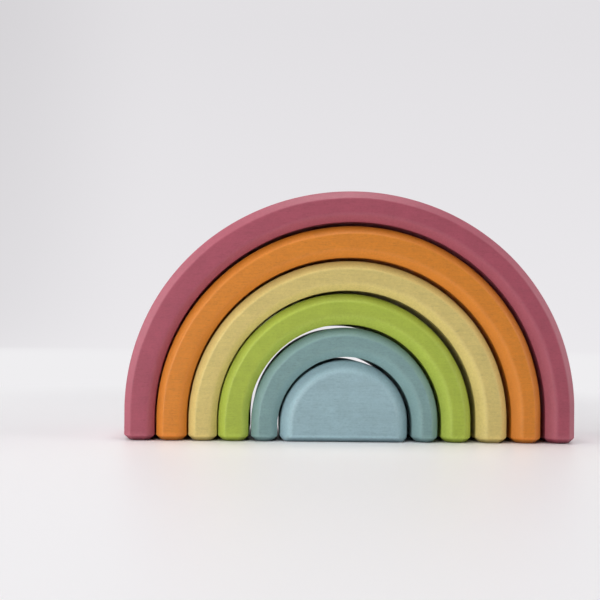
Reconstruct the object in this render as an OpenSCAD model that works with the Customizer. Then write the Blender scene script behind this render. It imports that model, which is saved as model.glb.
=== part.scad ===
// Rainbow stacker: nesting wooden arches over a solid half-round core.
// Millimetres, +Z up. The origin is on the table, under the middle of the largest arch,
// and the front of the nest faces -Y. Each arch is worked out from the piece inside it.

/* [Nest] */
// Depth of every piece, front to back
depth = 50; // [30:1:70]
// Play that the saw cut leaves between neighbouring pieces, measured at the legs
saw_gap = 1.2; // [0.8:0.1:2]
// Extra play at the crown of each saw cut
crown_play = 0.05; // [0:0.05:0.6]

/* [Core] */
// Width of the solid half-round core
core_width = 48.4; // [36:0.2:64]
// Height of the core's straight sides, below its arc
core_leg = 6.45; // [4:0.05:10]

/* [Arches] */
// Wall of the smallest arch, measured at its legs
small_wall = 9.8; // [8:0.1:14]
// Extra thickness at the smallest arch's crown
small_crown_extra = 1.1; // [0:0.1:2]
// Wall of each larger arch, measured at its legs
large_wall = 11.25; // [8:0.05:16]
// Extra thickness at a larger arch's crown
large_crown_extra = 0.45; // [0:0.05:1]

/* [Chamfers] */
// Chamfer on the front and back edges of the core
core_chamfer = 4.25; // [1.05:0.1:5.95]
// Chamfer on the outer front and back edges of each arch
edge_chamfer = 2.9; // [1:0.1:3.5]
// Chamfer on the inner front and back edges of each arch, round its opening
mouth_chamfer = 3.1; // [1:0.1:3.5]
// Chamfer round the underside of every foot and of the core
foot_chamfer = 2; // [1:0.1:3.5]

/* [Hidden] */
$fn = 128;

// Pieces are numbered from the core outwards
CORE = 0;
TEAL = 1;
GREEN = 2;
YELLOW = 3;
ORANGE = 4;
RASPBERRY = 5;

// How far a cutting shape runs past what it cuts
overrun = 1;

// How far each arch's opening was sawn right of the arch's middle, as shares of the saw gap;
// the smallest arch comes first, and a negative share is to the left
opening_right_shares = [0.08, 0.2, -0.35, 0.22, 0.23];

// How far each piece stands left of the middle of the opening around it, as shares of the saw gap;
// the core comes first
stand_left_shares = [0.3, 0.18, 0.65, 0.52, 0.5];

// Wall at the legs, and extra thickness at the crown, of one arch
function wall(piece) = piece == TEAL ? small_wall : large_wall;
function crown_extra(piece) = piece == TEAL ? small_crown_extra : large_crown_extra;

// Chamfer on a piece's outer front and back edges
function face_chamfer(piece) = piece == CORE ? core_chamfer : edge_chamfer;

// Radius of a piece's outer arc, and of an arch's opening
function outer_radius(piece) = piece == CORE ? core_width / 2 : mouth_radius(piece) + wall(piece);
function mouth_radius(piece) = outer_radius(piece - 1) + saw_gap;

// Height of the arcs' centres above the table: each cut is centred a little above the one inside it
function outer_centre(piece) = piece == CORE ? core_leg : mouth_centre(piece) + crown_extra(piece);
function mouth_centre(piece) = outer_centre(piece - 1) + crown_play;

// Sideways place of an arch's opening, from the arch's own middle
function opening_shift(piece) = opening_right_shares[piece - TEAL] * saw_gap;

// Sideways place of a piece in the nest
function stand(piece) =
    piece == RASPBERRY
        ? 0
        : stand(piece + 1) + opening_shift(piece + 1) - stand_left_shares[piece] * saw_gap;

// Right-hand side of a solid seen from above, chamfered where it meets the front and back faces
function chamfered_side(half_width, chamfer) = [
    [half_width - chamfer, -depth / 2],
    [half_width, chamfer - depth / 2],
    [half_width, depth / 2 - chamfer],
    [half_width - chamfer, depth / 2]
];

// Right-hand side of an opening seen from above, flared so that it leaves chamfers on its edges
function flared_side(half_width) = [
    [half_width + mouth_chamfer + overrun, -depth / 2 - overrun],
    [half_width, mouth_chamfer - depth / 2],
    [half_width, depth / 2 - mouth_chamfer],
    [half_width + mouth_chamfer + overrun, depth / 2 + overrun]
];

// A side carried up both straight legs from base and round the arc between them
module half_round(side, centre, base) {
    front = side[0].y;
    back = side[len(side) - 1].y;
    left_side = [for (i = [len(side) - 1 : -1 : 0]) [-side[i].x, side[i].y]];
    leg = centre - base;
    translate([0, 0, centre]) {
        rotate([90, 0, 0])
            rotate_extrude(angle = 180)
                polygon(concat([[0, front]], side, [[0, back]]));
        translate([0, 0, -leg])
            linear_extrude(leg)
                polygon(concat(side, left_side));
    }
}

// Bars that chamfer the lower edges running front to back, at half_width on both sides
module side_bevels(half_width) {
    bar = foot_chamfer * sqrt(2);
    for (side = [-1, 1])
        translate([side * half_width, 0, 0])
            rotate([0, 45, 0])
                cube([bar, depth + 2 * overrun, bar], center = true);
}

// Bars that chamfer the lower edges of the front and back faces
module face_bevels(half_width) {
    bar = foot_chamfer * sqrt(2);
    for (face = [-1, 1])
        translate([0, face * depth / 2, 0])
            rotate([45, 0, 0])
                cube([2 * (half_width + overrun), bar, bar], center = true);
}

// Solid half-round block with every edge chamfered
module half_round_block(piece) {
    half_width = outer_radius(piece);
    difference() {
        half_round(chamfered_side(half_width, face_chamfer(piece)), outer_centre(piece), 0);
        side_bevels(half_width);
        face_bevels(half_width);
    }
}

// Arch: a half-round block opened by the outline of the piece inside it and the saw gap
module arch(piece) {
    opening = mouth_radius(piece);
    difference() {
        half_round_block(piece);
        translate([opening_shift(piece), 0, 0]) {
            half_round(flared_side(opening), mouth_centre(piece), -overrun);
            side_bevels(opening);
        }
    }
}

module raspberry_arch() {
    color("#a25866") translate([stand(RASPBERRY), 0, 0]) arch(RASPBERRY);
}

module orange_arch() {
    color("#cb8038") translate([stand(ORANGE), 0, 0]) arch(ORANGE);
}

module yellow_arch() {
    color("#c8b572") translate([stand(YELLOW), 0, 0]) arch(YELLOW);
}

module green_arch() {
    color("#a0b04c") translate([stand(GREEN), 0, 0]) arch(GREEN);
}

module teal_arch() {
    color("#799492") translate([stand(TEAL), 0, 0]) arch(TEAL);
}

module blue_core() {
    color("#8fa8af") translate([stand(CORE), 0, 0]) half_round_block(CORE);
}

raspberry_arch();
orange_arch();
yellow_arch();
green_arch();
teal_arch();
blue_core();
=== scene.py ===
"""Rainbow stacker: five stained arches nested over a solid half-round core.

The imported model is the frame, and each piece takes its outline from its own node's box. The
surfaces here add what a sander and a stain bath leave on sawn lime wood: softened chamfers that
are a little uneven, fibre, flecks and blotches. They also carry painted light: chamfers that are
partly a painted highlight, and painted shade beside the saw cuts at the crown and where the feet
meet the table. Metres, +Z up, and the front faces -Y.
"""

import logging
import math
from dataclasses import dataclass
from enum import Enum

import bpy
import numpy as np
from numpy.typing import NDArray
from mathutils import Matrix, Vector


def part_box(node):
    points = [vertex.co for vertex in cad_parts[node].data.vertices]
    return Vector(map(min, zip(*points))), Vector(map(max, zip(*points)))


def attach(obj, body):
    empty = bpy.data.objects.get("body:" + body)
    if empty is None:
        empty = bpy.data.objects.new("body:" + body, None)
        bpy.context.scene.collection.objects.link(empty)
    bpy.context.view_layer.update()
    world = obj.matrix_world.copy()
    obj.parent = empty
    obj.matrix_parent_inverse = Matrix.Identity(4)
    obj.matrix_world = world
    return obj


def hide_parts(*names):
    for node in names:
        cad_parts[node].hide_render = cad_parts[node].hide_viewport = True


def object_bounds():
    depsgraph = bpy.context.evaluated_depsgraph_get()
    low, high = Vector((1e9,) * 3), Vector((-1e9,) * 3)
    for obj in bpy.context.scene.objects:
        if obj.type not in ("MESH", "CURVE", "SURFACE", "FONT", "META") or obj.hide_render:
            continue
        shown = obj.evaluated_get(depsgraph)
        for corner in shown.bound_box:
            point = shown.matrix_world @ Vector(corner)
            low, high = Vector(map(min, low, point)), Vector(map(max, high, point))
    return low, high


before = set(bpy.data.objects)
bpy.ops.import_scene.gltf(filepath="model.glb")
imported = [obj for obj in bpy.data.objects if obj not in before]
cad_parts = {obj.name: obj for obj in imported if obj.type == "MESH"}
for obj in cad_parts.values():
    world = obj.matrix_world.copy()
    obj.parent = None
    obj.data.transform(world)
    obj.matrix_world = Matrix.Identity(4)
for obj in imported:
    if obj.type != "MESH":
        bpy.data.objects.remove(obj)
cad_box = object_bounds()

Array = NDArray[np.float64]
Plane = NDArray[np.complex128]
Place = tuple[float, float, float]
Range = tuple[float, float]
Colour = tuple[float, float, float, float]

LOG = logging.getLogger("rainbow_stacker")

MM = 0.001
EIGHTH = math.pi / 4
IMAGE_PIXELS = 600

# Play that the saw cut leaves between neighbours, at the legs and extra at the crown
SAW_GAP = 1.2 * MM
CROWN_PLAY = 0.05 * MM

# How finely the surfaces are drawn, and to how many digits of a metre two depths are the same
CORNER_STEPS = 5
RUN_STEPS = 5
LEG_STEPS = 4
ARC_STEPS = 144
FACE_STEPS = 7
DEPTH_DIGITS = 6

# Waves that a sander's hand leaves along one edge, from foot to foot
WAVER_TURNS = np.array([2.0, 5.0, 11.0])

# Mesh attribute that sets each point's tint: from 0 on the flats up to 1 where all of the paler chamfer
# tint shows, partly worn by the sander and partly a painted highlight, and down to -1 for painted shade
WEAR_AND_SHADING_ATTRIBUTE = "wear_and_shading"

# Step in millimetres between the places in the wood that neighbouring pieces were sawn from
GRAIN_STEP_MM = (37.0, 11.0, 23.0)

# Painted light on a foot at heights given in foot chamfers: painted shade where the foot meets the table,
# and a painted highlight line along the chamfer's upper edge
FOOT_HEIGHTS = (0.0, 0.5, 0.8, 0.95, 1.12, 1.3)
FOOT_SHADE_AND_HIGHLIGHT = (-1.0, -0.4, 0.0, 1.0, 1.0, 0.0)


class Stain(Enum):
    """The stain baths: the colour that each gives the wood, and the paler one of chamfers, partly worn and
    partly a painted highlight and sheen.
    """

    RASPBERRY = ("#a24b5c", "#bc6877")
    ORANGE = ("#d58123", "#f09539")
    YELLOW = ("#d1bd73", "#edd887")
    GREEN = ("#a5b641", "#bed255")
    TEAL = ("#7a9a9a", "#8fb1b1")
    BLUE = ("#97b4bc", "#b0d0d8")

    @property
    def full(self) -> str:
        """Colour of the flats, where the stain is whole."""
        return self.value[0]

    @property
    def sanded_and_highlit(self) -> str:
        """Colour of the chamfers, paler where the sander took some of the stain off, and partly a painted
        highlight and sheen.
        """
        return self.value[1]


def linear(hex_colour: str) -> Colour:
    """Turns an sRGB hex colour into linear light.

    Args:
        hex_colour: The colour as "#rrggbb".

    Returns:
        Red, green, blue and an alpha of 1.
    """
    channels = [int(hex_colour[i : i + 2], 16) / 255 for i in (1, 3, 5)]
    red, green, blue = (c / 12.92 if c <= 0.04045 else ((c + 0.055) / 1.055) ** 2.4 for c in channels)
    return red, green, blue, 1.0


def shade(colour: Colour, share: float) -> Colour:
    """Scales a linear colour's light by a share."""
    red, green, blue = (min(1.0, c * share) for c in colour[:3])
    return red, green, blue, 1.0


def add_node(tree: bpy.types.NodeTree, kind: str, inputs: dict | None = None, **settings) -> bpy.types.Node:
    """Adds a node to a tree, with its settings and links.

    Args:
        tree: The node tree.
        kind: The node's Blender type.
        inputs: For each input, by name or number, a value to set or an output to link.
        settings: The node's own properties.

    Returns:
        The new node.
    """
    node = tree.nodes.new(kind)
    for name, value in settings.items():
        setattr(node, name, value)
    for key, value in (inputs or {}).items():
        if isinstance(value, bpy.types.NodeSocket):
            tree.links.new(value, node.inputs[key])
        else:
            node.inputs[key].default_value = value
    return node


def new_tree(name: str) -> tuple[bpy.types.Material, bpy.types.NodeTree]:
    """Makes an empty node material.

    Args:
        name: The material's name.

    Returns:
        The material and its cleared node tree.
    """
    material = bpy.data.materials.new(name)
    material.use_nodes = True
    material.node_tree.nodes.clear()
    return material, material.node_tree


def calculate(tree: bpy.types.NodeTree, operation: str, *operands: float | bpy.types.NodeSocket,
              clamp: bool = False) -> bpy.types.NodeSocket:
    """Adds one step of arithmetic to a tree.

    Args:
        tree: The node tree.
        operation: What is done, as the Math node names it.
        operands: The numbers that it takes, or the outputs that give them.
        clamp: Whether the result is held between 0 and 1.

    Returns:
        The result.
    """
    inputs = dict(enumerate(operands))
    node = add_node(tree, "ShaderNodeMath", inputs, operation=operation, use_clamp=clamp)
    return node.outputs["Value"]


def blend(tree: bpy.types.NodeTree, share: bpy.types.NodeSocket, first: Colour | bpy.types.NodeSocket,
          second: Colour | bpy.types.NodeSocket) -> bpy.types.NodeSocket:
    """Adds a mix of two colours to a tree.

    Args:
        tree: The node tree.
        share: Share of the second colour, from 0 to 1.
        first: The first colour.
        second: The second colour.

    Returns:
        The mixed colour.
    """
    # A Mix node keeps its colours at the sockets 6 and 7, and their mix at the output 2
    node = add_node(tree, "ShaderNodeMix", {0: share, 6: first, 7: second}, data_type="RGBA")
    return node.outputs[2]


def straight_rays(tree: bpy.types.NodeTree) -> bpy.types.NodeSocket:
    """Adds nodes that give 1 to rays from the camera, a sheen or clear stuff, and 0 to scattered light.

    Args:
        tree: The node tree.

    Returns:
        The value.
    """
    rays = add_node(tree, "ShaderNodeLightPath")
    seen = calculate(tree, "MAXIMUM", rays.outputs["Is Camera Ray"], rays.outputs["Is Glossy Ray"])
    return calculate(tree, "MAXIMUM", seen, rays.outputs["Is Transmission Ray"])


@dataclass(frozen=True)
class Spread:
    """Carries a value from one range to another, and holds it within that."""

    source: Range
    target: Range = (0.0, 1.0)
    smooth: bool = False

    def of(self, tree: bpy.types.NodeTree, value: bpy.types.NodeSocket) -> bpy.types.NodeSocket:
        """Adds the spread of a value to a tree.

        Args:
            tree: The node tree.
            value: The value.

        Returns:
            The value in its new range.
        """
        node = add_node(tree, "ShaderNodeMapRange", {
            "Value": value,
            "From Min": self.source[0],
            "From Max": self.source[1],
            "To Min": self.target[0],
            "To Max": self.target[1],
        }, interpolation_type="SMOOTHSTEP" if self.smooth else "LINEAR")
        return node.outputs["Result"]


@dataclass(frozen=True)
class StainedLime:
    """Lime wood, smoothed by a sander, dipped in a water-based stain and wiped with oil.

    Lime is fine and even, so the eye sees a soft blotchy colour with faint fibres and short
    flecks along X, darker speckle on the end grain, paler chamfers that are partly worn by the sander
    and partly a painted highlight, and dark lines of painted shade. The oil leaves a low satin sheen.
    """

    stain: Stain
    shift_mm: Place
    # Fibres are about 0.03 mm wide and are drawn coarser, so that they show in the render
    fibre_mm: Place = (9.0, 0.55, 0.55)
    ring_mm: Place = (90.0, 4.5, 4.5)
    fleck_mm: Place = (1.8, 0.42, 0.42)
    blotch_mm: Place = (7.0, 7.0, 7.0)
    speckle_mm: Place = (0.8, 0.8, 0.8)
    # How much each pattern counts in how pale the stain is, and the shares of its light at both ends
    fibre_tone: Spread = Spread((0.25, 0.75), (-0.14, 0.14))
    ring_tone: float = 0.15
    speckle_tone: float = 0.6
    blotch_tone: float = 0.7
    dark_share: float = 0.78
    pale_share: float = 1.22
    # How much of the flecks, the end grain and the chamfer tint, partly worn and partly a painted
    # highlight, shows where their patterns are strong
    fleck_cover: Spread = Spread((0.56, 0.68), (0.0, 0.24))
    end_cover: Spread = Spread((0.4, 0.65), (0.05, 0.55))
    sanded_and_highlit_cover: Spread = Spread((0.35, 0.65), (0.45, 0.75))
    # Shares of the stain's light in a fleck, in end grain and in painted shade
    fleck_share: float = 0.55
    end_share: float = 0.62
    painted_shade_share: float = 0.3
    # Sheen along the fibres, and the relief that breaks it
    roughness: Spread = Spread((0.3, 0.7), (0.46, 0.6))
    ior: float = 1.48
    relief: float = 0.12 * MM
    relief_strength: float = 0.35
    fleck_relief: float = -0.5

    def pattern(self, tree: bpy.types.NodeTree, place: bpy.types.NodeSocket, size_mm: Place,
                detail: float) -> bpy.types.NodeSocket:
        """Adds one noise pattern of a real size.

        Args:
            tree: The material's node tree.
            place: The Object coordinates, in metres.
            size_mm: The pattern's size along each axis, in millimetres.
            detail: Octaves of finer noise.

        Returns:
            The noise's factor, about 0.5 on average.
        """
        mapping = add_node(tree, "ShaderNodeMapping", {
            "Vector": place,
            "Scale": tuple(1 / (size * MM) for size in size_mm),
            "Location": tuple(offset / size for offset, size in zip(self.shift_mm, size_mm)),
        })
        noise = add_node(tree, "ShaderNodeTexNoise", {
            "Vector": mapping.outputs["Vector"], "Scale": 1.0, "Detail": detail, "Roughness": 0.6,
        })
        return noise.outputs["Fac"]

    def material(self) -> bpy.types.Material:
        """Builds the stained wood's node material.

        Returns:
            The material.
        """
        material, tree = new_tree(f"stained_lime_{self.stain.name.lower()}")
        stain = linear(self.stain.full)
        coords = add_node(tree, "ShaderNodeTexCoord")
        place = coords.outputs["Object"]
        fibre = self.pattern(tree, place, self.fibre_mm, 4.0)
        ring = self.pattern(tree, place, self.ring_mm, 2.0)
        fleck = self.pattern(tree, place, self.fleck_mm, 2.0)
        blotch = self.pattern(tree, place, self.blotch_mm, 4.0)
        speckle = self.pattern(tree, place, self.speckle_mm, 3.0)

        # Fibres, growth rings, speckle and blotches add up to how pale the stain is, with 0.5 as written
        tone = self.fibre_tone.of(tree, fibre)
        tone = calculate(tree, "MULTIPLY_ADD", ring, self.ring_tone, tone)
        tone = calculate(tree, "MULTIPLY_ADD", speckle, self.speckle_tone, tone)
        tone = calculate(tree, "MULTIPLY_ADD", blotch, self.blotch_tone, tone)
        middle = (1 - self.ring_tone - self.speckle_tone - self.blotch_tone) / 2
        tone = calculate(tree, "ADD", tone, middle, clamp=True)
        colour = blend(tree, tone, shade(stain, self.dark_share), shade(stain, self.pale_share))

        # Short flecks are the wood's rays, which hold more stain
        colour = blend(tree, self.fleck_cover.of(tree, fleck), colour, shade(stain, self.fleck_share))

        # End grain faces along X and drinks the stain in speckles
        facing = add_node(tree, "ShaderNodeSeparateXYZ", {"Vector": coords.outputs["Normal"]})
        end_on = calculate(tree, "MULTIPLY", facing.outputs["X"], facing.outputs["X"])
        drunk = calculate(tree, "MULTIPLY", end_on, self.end_cover.of(tree, speckle), clamp=True)
        colour = blend(tree, drunk, colour, shade(stain, self.end_share))

        # Chamfers are paler, in specks, partly worn and partly a painted highlight, and painted shade is
        # darker
        wear_and_shading = add_node(tree, "ShaderNodeAttribute", attribute_name=WEAR_AND_SHADING_ATTRIBUTE).outputs["Fac"]
        sanded_and_highlit = calculate(tree, "MULTIPLY", wear_and_shading, self.sanded_and_highlit_cover.of(tree, speckle), clamp=True)
        colour = blend(tree, sanded_and_highlit, colour, linear(self.stain.sanded_and_highlit))
        # Painted shade where the attribute is below 0: at the feet by the table and beside the saw cuts at
        # the crown
        painted_shade = calculate(tree, "MULTIPLY", wear_and_shading, -1.0, clamp=True)
        colour = blend(tree, painted_shade, colour, shade(stain, self.painted_shade_share))

        # Raised fibres and sunk flecks break the sheen
        bump = add_node(tree, "ShaderNodeBump", {
            "Height": calculate(tree, "MULTIPLY_ADD", fleck, self.fleck_relief, fibre),
            "Strength": self.relief_strength,
            "Distance": self.relief,
        })
        wood = add_node(tree, "ShaderNodeBsdfPrincipled", {
            "Base Color": colour,
            "Roughness": self.roughness.of(tree, fibre),
            "IOR": self.ior,
            "Normal": bump.outputs["Normal"],
        })
        add_node(tree, "ShaderNodeOutputMaterial", {"Surface": wood.outputs["BSDF"]})
        return material


@dataclass(frozen=True)
class SatinCard:
    """Pale satin card, which fades into an even backdrop far from the nest."""

    near: str = "#f4f2f4"
    far_floor: str = "#efeef0"
    dim_wall: str = "#d6d4d7"
    wall: str = "#ebe9ec"
    grits_per_metre: float = 900.0
    roughness: Spread = Spread((0.0, 1.0), (0.38, 0.5))
    ior: float = 1.45
    # The wall is dimmer to the left and towards the top: shares of its full colour along X and Z
    wall_across: Spread = Spread((-1.15, -0.4), (0.0, 0.57), smooth=True)
    wall_upwards: Spread = Spread((1.2, 0.0), (0.0, 0.43))
    # Where the far floor runs into the wall, along Y, and the card into both, by distance from the nest
    wall_start: Spread = Spread((1.2, 2.9), smooth=True)
    fade: Spread = Spread((0.1, 0.4), smooth=True)

    def material(self) -> bpy.types.Material:
        """Builds the card's node material.

        Returns:
            The material.
        """
        material, tree = new_tree("satin_card")
        place = add_node(tree, "ShaderNodeTexCoord").outputs["Object"]
        grit = add_node(tree, "ShaderNodeTexNoise", {
            "Vector": place, "Scale": self.grits_per_metre, "Detail": 2.0,
        })
        card = add_node(tree, "ShaderNodeBsdfPrincipled", {
            "Base Color": linear(self.near),
            "Roughness": self.roughness.of(tree, grit.outputs["Fac"]),
            "IOR": self.ior,
        })

        # The backdrop shines by itself, at the colours as they are written
        spot = add_node(tree, "ShaderNodeSeparateXYZ", {"Vector": place})
        across = self.wall_across.of(tree, spot.outputs["X"])
        upwards = self.wall_upwards.of(tree, spot.outputs["Z"])
        lit = calculate(tree, "ADD", across, upwards)
        wall = blend(tree, lit, linear(self.dim_wall), linear(self.wall))
        backdrop = blend(tree, self.wall_start.of(tree, spot.outputs["Y"]), linear(self.far_floor), wall)
        glow = add_node(tree, "ShaderNodeEmission", {"Color": backdrop, "Strength": 1.0})

        # Near the nest the card is lit and holds the nest's shadow
        away = add_node(tree, "ShaderNodeVectorMath", {0: place}, operation="LENGTH")
        fade = self.fade.of(tree, away.outputs["Value"])
        surface = add_node(tree, "ShaderNodeMixShader", {
            0: calculate(tree, "MULTIPLY", straight_rays(tree), fade),
            1: card.outputs["BSDF"],
            2: glow.outputs["Emission"],
        })
        add_node(tree, "ShaderNodeOutputMaterial", {"Surface": surface.outputs["Shader"]})
        return material


@dataclass(frozen=True)
class Sawing:
    """How far a hand-guided saw cut strays outside its drawn arc."""

    lean: float = 0.0
    fullness: float = 0.0
    rise: float = 0.0

    def stray(self, angle: Array) -> Array:
        """Stray of the cut at each station round the arc.

        It is lean times the sine of twice the angle, which swells the right and thins the left, plus
        fullness times four sines and the squared cosine, which swells both shoulders, plus rise times
        the sine, which lifts the crown. All vanish where the arc meets the legs.

        Args:
            angle: Angle of each station round the arc, from the right-hand leg.

        Returns:
            One distance for each station, positive outwards.
        """
        shoulders = 4 * np.sin(angle) * np.cos(angle) ** 2
        return self.lean * np.sin(2 * angle) + self.fullness * shoulders + self.rise * np.sin(angle)


@dataclass(frozen=True)
class Outline:
    """Front outline of a half-round: two straight legs with an arc on top of them."""

    stand: float
    radius: float
    centre: float

    @classmethod
    def of_node(cls, node: str) -> "Outline":
        """Reads a node's outline from its box: the arc's centre is half the width under the top.

        Args:
            node: The CAD node's name.

        Returns:
            The outline.
        """
        low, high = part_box(node)
        radius = (high.x - low.x) / 2
        return cls((low.x + high.x) / 2, radius, high.z - radius)

    def opening_for(self, inside: "Outline", shift: float) -> "Outline":
        """Outline of the opening that holds another piece: that piece's outline and the saw cut round it.

        Args:
            inside: Outline of the piece that the opening holds.
            shift: How far right of this outline's middle the opening was sawn.

        Returns:
            The opening's outline.
        """
        return Outline(self.stand + shift, inside.radius + SAW_GAP, inside.centre + CROWN_PLAY)

    def reach(self, angle: Array, sawing: Sawing) -> Array:
        """Distance of the sawn arc from its centre at each angle, never past the planes of the legs."""
        return np.minimum(self.radius + sawing.stray(angle), self.radius / np.abs(np.cos(angle)))


@dataclass(frozen=True)
class Sanding:
    """How evenly an edge was smoothed by the sander, as shares of its chamfer's width."""

    seed: int
    crown: float = 0.0
    lean: float = 0.0
    waver: float = 0.05

    def widths(self, angle: Array, along: Array) -> Array:
        """Chamfer width at each station, as a share of the nominal one.

        The share is 1, plus crown times the sine of the angle, plus lean times its cosine, plus
        waver times the mean of three sines along the edge with seeded phases.

        Args:
            angle: Angle of each station round the arc, from the right-hand leg.
            along: Each station's place along the edge, from 0 to 1.

        Returns:
            One share for each station.
        """
        phases = np.random.default_rng(self.seed).uniform(0, 2 * np.pi, len(WAVER_TURNS))
        waves = np.sin(2 * np.pi * along[:, None] * WAVER_TURNS + phases).mean(axis=1)
        return 1 + self.crown * np.sin(angle) + self.lean * np.cos(angle) + self.waver * waves


def corner_arc(turn: float) -> Plane:
    """Arc of radius 1 that softens a corner, for a path that arrives along +X at the corner, which is at 0.

    The arc starts tan(half the turn) before the corner and ends as far after it.

    Args:
        turn: Angle of the turn, positive to the left.

    Returns:
        Points of the arc in the plane.
    """
    swept = np.linspace(0, abs(turn), CORNER_STEPS)
    arc = np.sin(swept) - math.tan(abs(turn) / 2) + 1j * (1 - np.cos(swept))
    return arc if turn > 0 else arc.conj()


def spaced(count: int) -> Array:
    """Shares between 0 and 1, both left out, that crowd towards the ends as a cosine does."""
    return (1 - np.cos(np.pi * np.arange(1, count + 1) / (count + 1))) / 2


def soften(corners: Plane, first_heading: float, turn: float, radii: Array, corner_wear_and_shading: Array,
           tinted_runs: list[bool], closed: bool) -> tuple[Plane, Array]:
    """Outline through corners that all turn alike, with an arc at each and spaced points between.

    The tint, partly worn and partly painted highlight and shade, runs evenly from corner to corner
    along a tinted run, and fades out over the corner at its end.

    Args:
        corners: The corners in order, along the last axis.
        first_heading: Direction of the path as it arrives at the first corner.
        turn: Angle of every turn, positive to the left.
        radii: Radius of the arc at each corner, in the corners' shape or along the last axis.
        corner_wear_and_shading: Worn tint and painted shading at each corner, in the corners' shape or
            along the last axis.
        tinted_runs: Whether the run after each corner is tinted.
        closed: Whether the path runs on from the last corner to the first.

    Returns:
        The outline's points, along the last axis, and each point's worn tint and painted shading.
    """
    headings = np.exp(1j * (first_heading + turn * np.arange(corners.shape[-1])))
    arcs = corners[..., None] + headings[:, None] * np.asarray(radii)[..., None] * corner_arc(turn)
    ends = arcs[..., -1:]
    starts = np.roll(arcs[..., :1], -1, axis=-2)
    points = np.concatenate([arcs, ends + (starts - ends) * spaced(RUN_STEPS)], axis=-1)
    points = points.reshape(*corners.shape[:-1], -1)
    after = np.array(tinted_runs, float)[:, None]
    before = np.roll(after, 1, axis=0)
    here = np.asarray(corner_wear_and_shading)[..., None]
    ahead = np.roll(here, -1, axis=-2)
    arc_wear_and_shading = here * (before + (after - before) * np.linspace(0, 1, CORNER_STEPS))
    run_wear_and_shading = after * (here + (ahead - here) * spaced(RUN_STEPS))
    wear_and_shading = np.concatenate([arc_wear_and_shading, run_wear_and_shading], axis=-1)
    wear_and_shading = wear_and_shading.reshape(*wear_and_shading.shape[:-2], -1)
    if closed:
        return points, wear_and_shading
    return points[..., :-RUN_STEPS], wear_and_shading[..., :-RUN_STEPS]


def smooth_object(name: str, points: Array, faces: list[list[int]]) -> bpy.types.Object:
    """Adds a smoothly shaded mesh object at the origin.

    Args:
        name: The object's name.
        points: Its points, one in each row.
        faces: The numbers of each face's points.

    Returns:
        The new object.
    """
    mesh = bpy.data.meshes.new(name)
    mesh.from_pydata(points.tolist(), [], faces)
    mesh.polygons.foreach_set("use_smooth", np.ones(len(faces), bool))
    mesh.update()
    piece = bpy.data.objects.new(name, mesh)
    bpy.context.scene.collection.objects.link(piece)
    return piece


def shell(name: str, rings: Array, wear_and_shading: Array) -> bpy.types.Object:
    """Skins a stack of closed rings and closes both ends at a middle point.

    Args:
        name: The piece's name.
        rings: Points by ring, place round the ring, and axis. Seen along the stack, the rings run
            clockwise.
        wear_and_shading: The attribute of each point: worn tint and painted shading.

    Returns:
        The new object, at the origin.
    """
    count, around = rings.shape[:2]
    index = np.arange(count * around).reshape(count, around)
    beside = np.roll(index, -1, axis=1)
    quads = np.stack([index[:-1], index[1:], beside[1:], beside[:-1]], axis=-1).reshape(-1, 4)
    first_pole, last_pole = count * around, count * around + 1
    first_fan = np.stack([np.full(around, first_pole), index[0], beside[0]], axis=-1)
    last_fan = np.stack([np.full(around, last_pole), beside[-1], index[-1]], axis=-1)
    poles = rings[[0, -1]].mean(axis=1)
    points = np.concatenate([rings.reshape(-1, 3), poles])
    piece = smooth_object(name, points, quads.tolist() + first_fan.tolist() + last_fan.tolist())
    values = np.concatenate([wear_and_shading.ravel(), np.zeros(len(poles))])
    attribute = piece.data.attributes.new(WEAR_AND_SHADING_ATTRIBUTE, "FLOAT", "POINT")
    attribute.data.foreach_set("value", values.astype(np.float32))
    return piece


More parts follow.
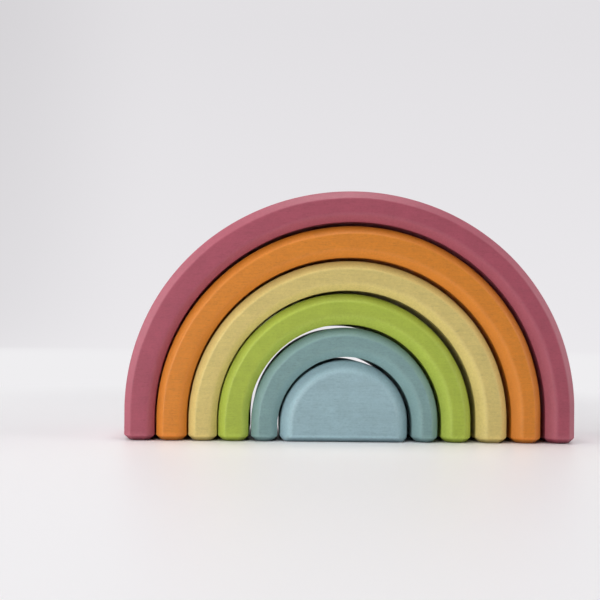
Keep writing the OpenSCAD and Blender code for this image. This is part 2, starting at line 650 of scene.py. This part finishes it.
@dataclass
class WoodenPiece:
    """One loose piece of the nest, which stands for the CAD node and body of the same name."""

    node: str
    slot: str
    finish: StainedLime
    sawing: Sawing
    # Share of the tint on an outer chamfer, partly worn by the sander and partly a painted highlight
    edge_wear_and_highlight: float
    foot_chamfer: float = 2.0 * MM
    # Radii that the sander left where a chamfer meets the face and the side, and on the foot's chamfer
    face_softness: float = 1.0 * MM
    side_softness: float = 2.0 * MM
    foot_softness: float = 0.8 * MM

    @property
    def outline(self) -> Outline:
        """The piece's front outline, from its CAD node."""
        return Outline.of_node(self.node)

    @property
    def half_depth(self) -> float:
        """Half of the piece's depth, from its CAD node."""
        low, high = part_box(self.node)
        return (high.y - low.y) / 2

    def chamfer_profile(self, width: float, flat_softness: float,
                        side_softness: float) -> tuple[Plane, Array]:
        """Profile of a chamfer, from the flat that it ends to the side that it starts.

        Its two corners are at (width, 0) and (0, width), where the first number is the inset from the
        side and the second the depth from the flat.

        Args:
            width: The chamfer's width.
            flat_softness: Radius of its corner with the flat.
            side_softness: Radius of its corner with the side.

        Returns:
            The profile's points as inset and depth, and each point's worn tint and painted highlight.
        """
        corners = width * np.array([1, 1j])
        radii = np.array([flat_softness, side_softness])
        wear_and_shading = np.full(len(corners), self.edge_wear_and_highlight)
        return soften(corners, math.pi, -EIGHTH, radii, wear_and_shading, [True, False], closed=False)

    def foot_profile(self) -> Plane:
        """Profile of the foot's chamfer, from the base to the side."""
        return self.chamfer_profile(self.foot_chamfer, self.foot_softness, self.foot_softness)[0]

    def with_feet(self, wear_and_shading: Array, height: Array) -> Array:
        """Adds the feet's painted shade and highlight to the chamfers' tint; the painted shade hides that
        tint.

        Args:
            wear_and_shading: The chamfers' worn tint and painted highlight.
            height: Height of each point above the table.

        Returns:
            Each point's tint, with the feet's painted shade and highlight.
        """
        # Painted shade where the foot meets the table, and a painted highlight line at the chamfer's upper
        # edge
        feet = np.interp(height, self.foot_chamfer * np.array(FOOT_HEIGHTS), FOOT_SHADE_AND_HIGHLIGHT)
        return np.where(feet > 0, np.maximum(feet, wear_and_shading), np.where(feet < 0, feet, wear_and_shading))

    def dress(self, piece: bpy.types.Object) -> None:
        """Gives the piece its finish, and puts it on its body in place of its CAD node.

        Args:
            piece: The piece's object.
        """
        piece.data.materials.append(self.finish.material())
        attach(piece, self.node)
        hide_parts(self.node)


@dataclass(kw_only=True)
class Arch(WoodenPiece):
    """An arch on two feet, with chamfers on every edge, round the legs and the arc alike."""

    inside: str
    opening_shift: float
    edge_chamfer: float = 2.9 * MM
    mouth_chamfer: float = 3.1 * MM
    mouth_face_softness: float = 2.2 * MM
    mouth_side_softness: float = 0.3 * MM
    # Share of the paler tint on the opening's chamfers, partly worn and partly a painted highlight
    mouth_wear_and_highlight: float
    # Shares of the painted highlight line along the face's edge, and of the painted shade beside the cut,
    # at the crown
    crown_highlight: float
    crown_shade: float
    sanding: Sanding
    mouth_sanding: Sanding
    mouth_sawing: Sawing

    def section_corners(self, wall: Array, half: Array, mouth: Array, edge: Array) -> Plane:
        """Corners of the eight-sided cross-section at each station.

        Args:
            wall: Wall thickness, from the opening outwards.
            half: Half of the depth.
            mouth: Chamfer at the opening.
            edge: Chamfer at the outside.

        Returns:
            Eight corners for each station: across the wall, and along Y as the imaginary part.
        """
        front = [mouth - 1j * half, wall - edge - 1j * half, wall - 1j * (half - edge)]
        back = [wall + 1j * (half - edge), wall - edge + 1j * half, mouth + 1j * half]
        opening = [1j * (half - mouth), -1j * (half - mouth)]
        return np.stack(front + back + opening, axis=-1)

    def build(self) -> bpy.types.Object:
        """Carries the cross-section up one leg, round the arc and down the other leg.

        A station lies on the line from the opening's outline to the outer one. In the foot's chamfer
        the whole section is drawn in by the chamfer's inset e, and its own chamfers by
        (2 - the root of 2) times e, so that all eight sides draw in alike.

        Returns:
            The arch's object.
        """
        outer = self.outline
        mouth = outer.opening_for(Outline.of_node(self.inside), self.opening_shift)
        foot = self.foot_profile()
        climb = np.linspace(0, 1, LEG_STEPS + 1)[1:-1]
        sweep = np.linspace(np.pi, 0, ARC_STEPS)
        start, legs = np.ones(len(foot) + len(climb)), np.zeros(len(climb))
        angle = np.concatenate([start * np.pi, sweep, start * 0])
        inset = np.concatenate([foot.real, legs, sweep * 0, legs, foot.real[::-1]])

        def path(outline: Outline, sawing: Sawing) -> Plane:
            """Stations along one outline.

            Args:
                outline: The outline, of the outside or of the opening.
                sawing: How its cut strays.

            Returns:
                The stations, as X with Z as the imaginary part.
            """
            leg = self.foot_chamfer + climb * (outline.centre - self.foot_chamfer)
            climbing = 1j * np.concatenate([foot.imag, leg])
            arc = 1j * outline.centre + outline.reach(sweep, sawing) * np.exp(1j * sweep)
            left, right = climbing - outline.radius, climbing[::-1] + outline.radius
            return outline.stand + np.concatenate([left, arc, right])

        opening = path(mouth, self.mouth_sawing)
        across = path(outer, self.sawing) - opening
        wall = np.abs(across)
        along = np.linspace(0, 1, len(angle))
        drawn_in = (2 - math.sqrt(2)) * inset
        corners = self.section_corners(
            wall - 2 * inset,
            self.half_depth - inset,
            self.mouth_chamfer * self.mouth_sanding.widths(angle, along) - drawn_in,
            self.edge_chamfer * self.sanding.widths(angle, along) - drawn_in,
        )
        edge_radii = [self.face_softness, self.side_softness, self.side_softness, self.face_softness]
        mouth_radii = [self.mouth_face_softness, self.mouth_side_softness]
        radii = np.array(mouth_radii[:1] + edge_radii + mouth_radii + mouth_radii[1:])
        left_over = (1 - 2 * inset / wall)[:, None]
        crown = np.sin(angle) ** 2
        # At the crown, a painted highlight line on the face's corner, and painted shade beside the saw cut
        # on the side's corner
        face_wear_and_highlight = self.edge_wear_and_highlight + (1 - self.edge_wear_and_highlight) * crown * self.crown_highlight
        side_wear_and_shade = self.edge_wear_and_highlight - (self.edge_wear_and_highlight + 1) * crown * self.crown_shade
        mouth_wear_and_highlight = np.full(len(angle), self.mouth_wear_and_highlight)
        corner_wear_and_shading = np.stack([
            mouth_wear_and_highlight, face_wear_and_highlight, side_wear_and_shade, side_wear_and_shade, face_wear_and_highlight, mouth_wear_and_highlight, mouth_wear_and_highlight, mouth_wear_and_highlight,
        ], axis=-1)
        flat_then_chamfer = [False, True]
        tinted_runs = flat_then_chamfer * (len(radii) // len(flat_then_chamfer))
        section, wear_and_shading = soften(
            corners, -EIGHTH, EIGHTH, radii * left_over, corner_wear_and_shading, tinted_runs, closed=True,
        )
        front = opening[:, None] + (across / wall)[:, None] * (section.real + inset[:, None])
        rings = np.stack([front.real, section.imag, front.imag], axis=-1)
        return shell(self.node + "_wood", rings, self.with_feet(wear_and_shading, front.imag))


@dataclass
class Core(WoodenPiece):
    """The solid half-round block in the middle, with a wide soft chamfer round its arc."""

    face_chamfer: float = 4.25 * MM
    face_softness: float = 2.4 * MM
    # Share of the tint on the wide chamfer, partly worn and partly a painted highlight
    edge_wear_and_highlight: float = 1.0
    # Least cut at the lower corners of the face, which the foot's chamfer doesn't reach
    least_cut: float = 0.3 * MM

    def ring(self, arc_inset: Array, base_inset: Array) -> Plane:
        """Closed outlines of the block, each drawn in from the full one.

        An outline starts at the left side's lower end, runs along the base to the right, up, and
        back over the arc. Its two lower corners are cut by the foot's chamfer.

        Args:
            arc_inset: How far the arc and sides are drawn in, one for each ring.
            base_inset: How far the base is drawn in, one for each ring.

        Returns:
            Points by ring and place, as X with Z as the imaginary part.
        """
        outline = self.outline
        cut = np.maximum(self.foot_chamfer - arc_inset - base_inset, self.least_cut)
        radius = outline.radius - arc_inset
        low = 1j * base_inset
        corners = np.stack([
            -radius + low + 1j * cut,
            -radius + low + cut,
            radius + low - cut,
            radius + low + 1j * cut,
        ], axis=-1)
        count = corners.shape[-1]
        radii = np.repeat(self.foot_softness * cut[:, None] / self.foot_chamfer, count, axis=1)
        unworn = np.zeros(count)
        base, _ = soften(corners, -2 * EIGHTH, EIGHTH, radii, unworn, [False] * count, closed=False)
        sweep = np.linspace(0, np.pi, ARC_STEPS)
        reach = outline.reach(sweep, self.sawing) - arc_inset[:, None]
        arc = reach * np.exp(1j * sweep) + 1j * outline.centre
        climb = np.linspace(0, 1, LEG_STEPS + 1)[1:-1]
        right = base[:, -1:] + (arc[:, :1] - base[:, -1:]) * climb
        left = arc[:, -1:] + (base[:, :1] - arc[:, -1:]) * climb
        return outline.stand + np.concatenate([base, right, arc, left], axis=1)

    def build(self) -> bpy.types.Object:
        """Stacks upright sections of the block, from the middle of the front face to that of the back.

        At each depth, the wide chamfer's profile sets how far the arc and the sides are drawn in, and
        the foot chamfer's profile how far the base is.

        Returns:
            The core's object.
        """
        half = self.half_depth
        arc_profile, arc_wear_and_shading = self.chamfer_profile(
            self.face_chamfer, self.face_softness, self.side_softness,
        )
        base_profile = self.foot_profile()
        depths = np.unique(np.concatenate([arc_profile.imag, base_profile.imag]).round(DEPTH_DIGITS))
        edge_rings = self.ring(
            np.interp(depths, arc_profile.imag, arc_profile.real),
            np.interp(depths, base_profile.imag, base_profile.real),
        )
        # The wide chamfer's tint at each depth, partly worn and partly a painted highlight
        edge_wear_and_highlight = np.interp(depths, arc_profile.imag, arc_wear_and_shading)
        middle = edge_rings[0].mean()
        face_rings = edge_rings[0] + (middle - edge_rings[0]) * spaced(FACE_STEPS)[::-1, None]
        flat = np.zeros(FACE_STEPS)
        front = np.concatenate([face_rings, edge_rings])
        front_y = np.concatenate([flat, depths]) - half
        side_shares = 1 - spaced(2 * RUN_STEPS + 1)[: RUN_STEPS + 1]
        side = np.repeat(edge_rings[-1:], len(side_shares), axis=0)
        side_y = front_y[-1] * (2 * side_shares - 1)
        plane = np.concatenate([front, side, front[::-1]])
        y = np.concatenate([front_y, side_y, -front_y[::-1]])[:, None]
        wear_and_shading = np.concatenate([flat, edge_wear_and_highlight, side_y * 0, edge_wear_and_highlight[::-1], flat])[:, None]
        rings = np.stack([plane.real, np.broadcast_to(y, plane.shape), plane.imag], axis=-1)
        return shell(self.node + "_wood", rings, self.with_feet(wear_and_shading, plane.imag))


@dataclass(frozen=True)
class Softbox:
    """A square soft light that looks at the nest."""

    name: str
    place: Place
    width: float
    watts: float

    def hang(self) -> None:
        """Adds the light, aimed at the nest's middle."""
        lamp = bpy.data.lights.new(self.name, "AREA")
        lamp.shape = "SQUARE"
        lamp.size = self.width
        lamp.energy = self.watts
        light = bpy.data.objects.new(self.name, lamp)
        light.location = self.place
        low, high = cad_box
        light.rotation_euler = ((low + high) / 2 - light.location).to_track_quat("-Z", "Y").to_euler()
        bpy.context.scene.collection.objects.link(light)


@dataclass
class Studio:
    """Pale sweep under and behind the nest, and the soft lights round it."""

    half_width: float = 4.0
    front: float = -2.0
    back: float = 3.0
    bend: float = 0.6
    bend_steps: int = 24
    height: float = 3.0
    card: SatinCard = SatinCard()
    softboxes: tuple[Softbox, ...] = (
        Softbox("left", (-1.00, -0.05, 0.50), 0.8, 6.1),
        Softbox("left_front", (-0.45, -0.55, 0.16), 0.35, 1.95),
        Softbox("overhead", (0.0, -0.05, 1.15), 0.7, 7.4),
        Softbox("right", (1.05, -0.15, 0.35), 0.8, 5.3),
    )

    def build_sweep(self) -> bpy.types.Object:
        """Carries an L-shaped profile with a round bend along X: floor, bend and wall.

        Returns:
            The sweep's object.
        """
        turn = np.linspace(-np.pi / 2, 0, self.bend_steps)
        bend = (self.back - self.bend + 1j * self.bend) + self.bend * np.exp(1j * turn)
        profile = np.concatenate([[self.front], bend, [self.back + 1j * self.height]])
        across = np.array([-self.half_width, 0.0, self.half_width])
        x, upright = np.broadcast_arrays(across[:, None], profile)
        points = np.stack([x, upright.real, upright.imag], axis=-1).reshape(-1, 3)
        index = np.arange(x.size).reshape(x.shape)
        left, right = index[:-1], index[1:]
        quads = np.stack([left[:, :-1], right[:, :-1], right[:, 1:], left[:, 1:]], axis=-1).reshape(-1, 4)
        sweep = smooth_object("sweep", points, quads.tolist())
        sweep.data.materials.append(self.card.material())
        return sweep

    def light(self) -> None:
        """Hangs the soft lights; the world carries the far floor on, for straight rays only."""
        for box in self.softboxes:
            box.hang()
        world = bpy.data.worlds.new("studio")
        world.use_nodes = True
        tree = world.node_tree
        tree.nodes.clear()
        sky = add_node(tree, "ShaderNodeBackground", {
            "Color": linear(self.card.far_floor), "Strength": straight_rays(tree),
        })
        add_node(tree, "ShaderNodeOutputWorld", {"Surface": sky.outputs["Background"]})
        bpy.context.scene.world = world


@dataclass(frozen=True)
class Viewpoint:
    """Camera that looks straight at the front, with the nest right of and above its axis."""

    left_of_middle: float = 30.94 * MM
    from_front: float = 336.6 * MM
    above_table: float = 39.6 * MM
    lens_mm: float = 54.0
    sensor_mm: float = 36.0
    roll_degrees: float = -0.484
    axis_pixel: Range = (268.0, 336.0)
    clip_start: float = 10 * MM

    def set_up(self) -> None:
        """Makes the scene's camera; its shift puts the axis on the named pixel."""
        lens = bpy.data.cameras.new("camera")
        lens.lens = self.lens_mm
        lens.sensor_width = self.sensor_mm
        lens.shift_x = 0.5 - self.axis_pixel[0] / IMAGE_PIXELS
        lens.shift_y = self.axis_pixel[1] / IMAGE_PIXELS - 0.5
        lens.clip_start = self.clip_start
        camera = bpy.data.objects.new("camera", lens)
        front = cad_box[0].y
        camera.location = (-self.left_of_middle, front - self.from_front, self.above_table)
        camera.rotation_euler = (math.pi / 2, math.radians(self.roll_degrees), 0)
        bpy.context.scene.collection.objects.link(camera)
        bpy.context.scene.camera = camera


def nest() -> list[WoodenPiece]:
    """Lists the pieces from the largest arch inwards.

    Returns:
        The six pieces.
    """
    order = ["raspberry_arch", "orange_arch", "yellow_arch", "green_arch", "teal_arch", "blue_core"]
    # How far right of its arch's middle each opening was sawn, as shares of the saw gap
    shift_shares = [0.23, 0.22, -0.35, 0.2, 0.08]
    # How each piece's outer cut strays, and that of each arch's opening
    outside_cuts = [
        Sawing(0.25 * MM, 0.5 * MM),
        Sawing(0.65 * MM, 0.1 * MM, -0.25 * MM),
        Sawing(0.25 * MM, 0.0, -0.5 * MM),
        Sawing(0.0, -0.1 * MM, 0.05 * MM),
        Sawing(0.08 * MM, -0.12 * MM, 0.25 * MM),
        Sawing(0.3 * MM, 0.0, 0.05 * MM),
    ]
    mouth_cuts = [
        Sawing(0.45 * MM),
        Sawing(0.15 * MM, 0.0, -0.5 * MM),
        Sawing(0.2 * MM),
        Sawing(-0.08 * MM, -0.08 * MM, 0.15 * MM),
        Sawing(0.25 * MM, -0.1 * MM, 0.05 * MM),
    ]
    # What the sander left on each arch, and its painted light: how much wider its opening's chamfer is
    # at the crown, the chamfer tints, partly worn and partly a painted highlight, and the painted
    # highlight line and painted shade at the crown
    mouth_crowns = [-0.1, -0.1, -0.1, 0.07, 0.07]
    edge_wears_and_highlights = [0.35, 0.65, 0.95, 0.65, 0.6]
    mouth_wears_and_highlights = [0.65, 0.65, 1.0, 0.95, 0.85]
    crown_highlights = [0.0, 1.0, 1.0, 1.0, 1.0]
    crown_shades = [0.0, 0.6, 0.55, 0.6, 0.65]
    pieces: list[WoodenPiece] = []
    for number, (node, stain) in enumerate(zip(order, Stain)):
        slot = f"{stain.name.lower()}_stained_wood"
        finish = StainedLime(stain, tuple(step * number for step in GRAIN_STEP_MM))
        if node == order[-1]:
            pieces.append(Core(node, slot, finish, outside_cuts[number]))
            continue
        pieces.append(Arch(
            node, slot, finish, outside_cuts[number],
            edge_wear_and_highlight=edge_wears_and_highlights[number],
            mouth_wear_and_highlight=mouth_wears_and_highlights[number],
            crown_highlight=crown_highlights[number],
            crown_shade=crown_shades[number],
            inside=order[number + 1],
            opening_shift=shift_shares[number] * SAW_GAP,
            sanding=Sanding(number, crown=0.1),
            mouth_sanding=Sanding(number + len(order), crown=mouth_crowns[number], lean=0.1),
            mouth_sawing=mouth_cuts[number],
        ))
    return pieces


def main() -> None:
    """Builds and dresses the nest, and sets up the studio."""
    logging.basicConfig(level=logging.INFO, format="%(name)s: %(message)s")
    bpy.context.scene.view_settings.view_transform = "Standard"
    for part in nest():
        piece = part.build()
        part.dress(piece)
        LOG.info("%s: %d faces in %s", piece.name, len(piece.data.polygons), part.finish.stain.name.lower())
    studio = Studio()
    LOG.info("%s: stage", studio.build_sweep().name)
    studio.light()
    Viewpoint().set_up()


if __name__ == "__main__":
    main()
